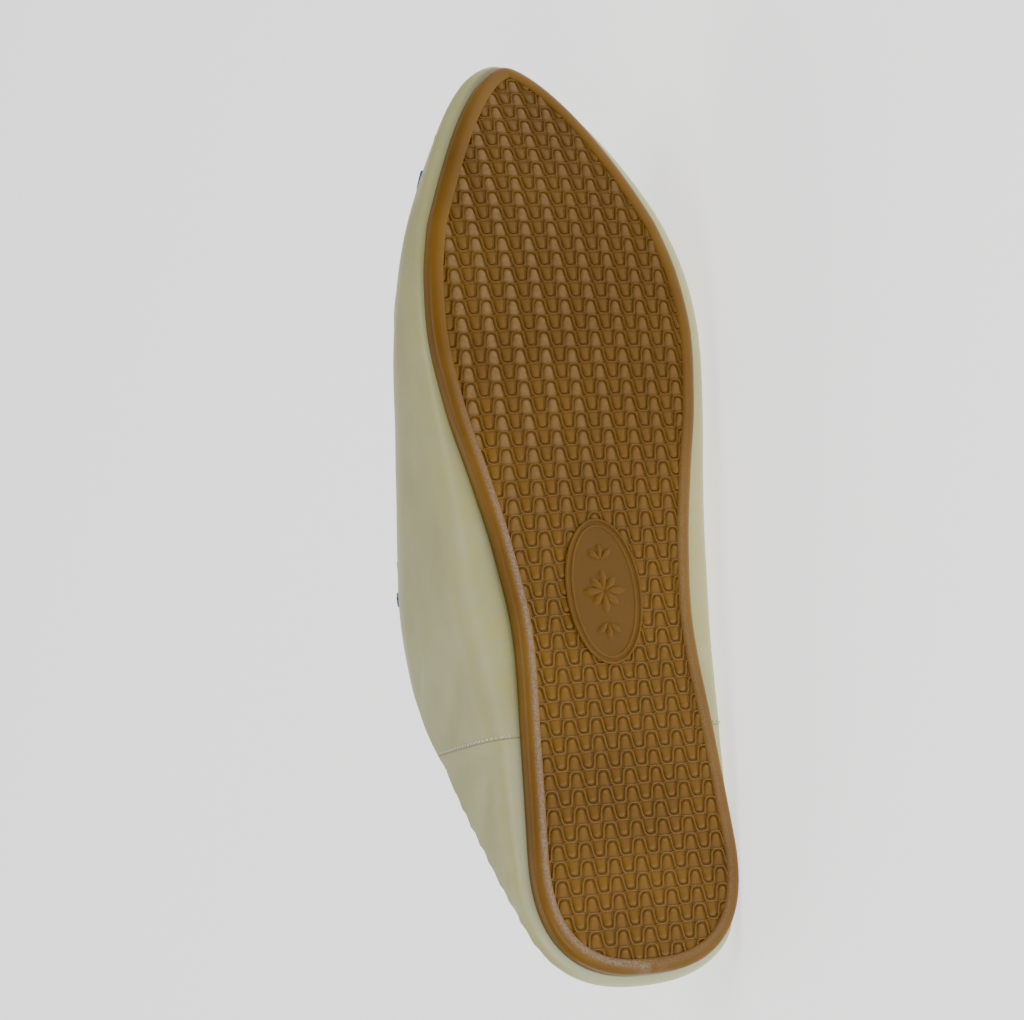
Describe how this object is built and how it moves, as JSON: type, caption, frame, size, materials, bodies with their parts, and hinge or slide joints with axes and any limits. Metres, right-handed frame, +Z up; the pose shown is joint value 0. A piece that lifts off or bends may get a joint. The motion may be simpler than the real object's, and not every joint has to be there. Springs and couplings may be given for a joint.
{
  "type": "babouche slipper",
  "caption": "Pointed leather slipper lying on its side, with a flat moulded rubber sole, a closed embroidered vamp and a trodden-down back.",
  "frame": {"origin": "centre of the bounding box's base, on the floor the slipper lies on", "axes": "+Y from heel to toe, +X the way the sole faces, +Z up; the slipper lies on its left side"},
  "size_m": [0.0802, 0.2502, 0.0849],
  "materials": {
    "caramel_rubber": "moulded, satin",
    "cream_leather": "soft, slightly glossy",
    "tan_sock": "matt woven sock over foam"
  },
  "bodies": {
    "root": {"outsole": "caramel_rubber", "upper": "cream_leather", "insole": "tan_sock"}
  },
  "joints": []
}
